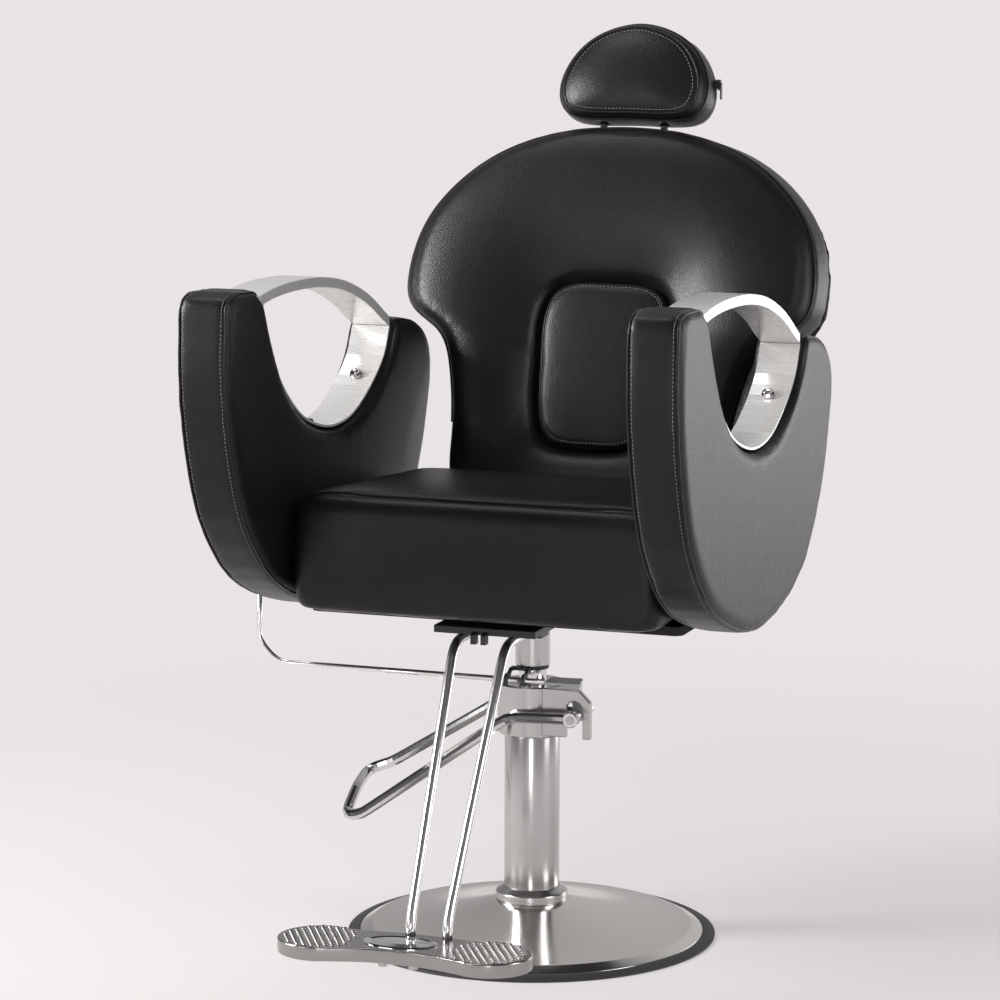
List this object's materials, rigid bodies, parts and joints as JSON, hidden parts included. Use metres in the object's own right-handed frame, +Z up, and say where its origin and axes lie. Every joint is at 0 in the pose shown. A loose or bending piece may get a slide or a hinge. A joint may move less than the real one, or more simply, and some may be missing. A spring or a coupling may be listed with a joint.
{
  "type": "hydraulic barber chair",
  "caption": "Hydraulic barber chair with round base, pump column, foot lever, leaf-shaped open arms, reclining back, sliding headrest and footrest.",
  "frame": {"origin": "on the floor under the base, on the column's axis", "axes": "+Z up along the column; -Y the way the sitter faces; +X the sitter's left"},
  "size_m": [0.717, 1.0748, 1.214],
  "materials": {
    "leather": "black grained synthetic leather, semi-gloss",
    "brushed_steel": "brushed stainless",
    "chrome": "polished",
    "cast_metal": "plain casting",
    "black_steel": "black powder coat",
    "black_plastic": "moulded",
    "rubber": "matte black",
    "plywood": "bare plywood"
  },
  "bodies": {
    "base": {"base_plate": "cast_metal", "base_rubber_ring": "rubber", "base_cover": "brushed_steel", "base_collar": "brushed_steel", "column_tube": "brushed_steel", "inner_cylinder": "brushed_steel", "pump_head": "brushed_steel", "gland_nut": "brushed_steel", "lever_bearing": "cast_metal"},
    "lever": {"foot_lever": "chrome", "lever_shaft": "brushed_steel"},
    "plunger": {"pump_plunger": "brushed_steel"},
    "ram": {"ram": "chrome", "ram_piston": "rubber"},
    "seat": {"swivel_sleeve": "brushed_steel", "seat_mount_plate": "black_steel", "seat_board": "plywood", "seat_cushion": "leather", "release_bracket": "black_steel", "footrest_rod_left": "chrome", "footrest_rod_right": "chrome", "footrest_clamp": "black_steel", "foot_plate": "brushed_steel", "foot_medallion": "chrome", "foot_plate_bolt_left": "brushed_steel", "foot_plate_bolt_right": "brushed_steel", "arm_panel_left": "leather", "arm_panel_right": "leather", "arm_liner_left": "brushed_steel", "arm_liner_right": "brushed_steel", "arm_arch_left": "brushed_steel", "arm_arch_right": "brushed_steel", "arm_bolt_left_high": "chrome", "arm_bolt_left_low": "chrome", "arm_bolt_right_high": "chrome", "arm_bolt_right_low": "chrome", "hinge_bracket_left": "black_steel", "hinge_bracket_right": "black_steel", "strut_bracket": "black_steel", "strut_cylinder": "black_steel"},
    "release": {"release_rod": "chrome", "release_flag": "brushed_steel", "release_grip": "rubber"},
    "back": {"back_cushion": "leather", "back_center_pad": "leather", "back_board": "leather", "back_frame": "black_steel", "headrest_socket_left": "black_plastic", "headrest_socket_right": "black_plastic"},
    "headrest": {"headrest_cushion": "leather", "headrest_post_left": "chrome", "headrest_post_right": "chrome", "zip_slider": "brushed_steel"},
    "zip_pull": {"zip_pull": "brushed_steel"},
    "strut_rod": {"strut_rod": "chrome"}
  },
  "joints": [
    {"name": "foot_pump", "type": "hinge", "parent": "base", "child": "lever", "pos_m": [0.0735, 0, 0.312], "axis": [0, -1, 0], "range_deg": [0, 18], "stiffness_Nm_per_rad": 6, "springref_deg": -34.38},
    {"name": "plunger_stroke", "type": "slide", "parent": "base", "child": "plunger", "axis": [-1, 0, 0], "range_m": [0, 0.0015]},
    {"name": "lift", "type": "slide", "parent": "base", "child": "ram", "axis": [0, 0, 1], "range_m": [0, 0.15]},
    {"name": "swivel", "type": "hinge", "parent": "ram", "child": "seat", "pos_m": [0, 0, 0.44], "axis": [0, 0, 1], "continuous": true},
    {"name": "height_release", "type": "hinge", "parent": "seat", "child": "release", "pos_m": [0, -0.0475, 0.3585], "axis": [1, 0, 0], "range_deg": [0, 18], "stiffness_Nm_per_rad": 0.5, "springref_deg": -22.92},
    {"name": "recline", "type": "hinge", "parent": "seat", "child": "back", "pos_m": [0, 0.20963, 0.512], "axis": [-1, 0, 0], "range_deg": [0, 50]},
    {"name": "headrest_height", "type": "slide", "parent": "back", "child": "headrest", "axis": [0, 0.3746, 0.9272], "range_m": [0, 0.1]},
    {"name": "zip_pull_swing", "type": "hinge", "parent": "headrest", "child": "zip_pull", "pos_m": [0.1178, 0.46746, 1.12879], "axis": [1, 0, 0], "range_deg": [-40, 40]},
    {"name": "strut_stroke", "type": "slide", "parent": "seat", "child": "strut_rod", "axis": [0, -1, 0], "range_m": [0, 0.07667]}
  ],
  "couplings": [
    {"joint": "plunger_stroke", "follows": "foot_pump", "m_per_rad": 0.0045},
    {"joint": "strut_stroke", "follows": "recline", "m_per_rad": 0.087171}
  ]
}
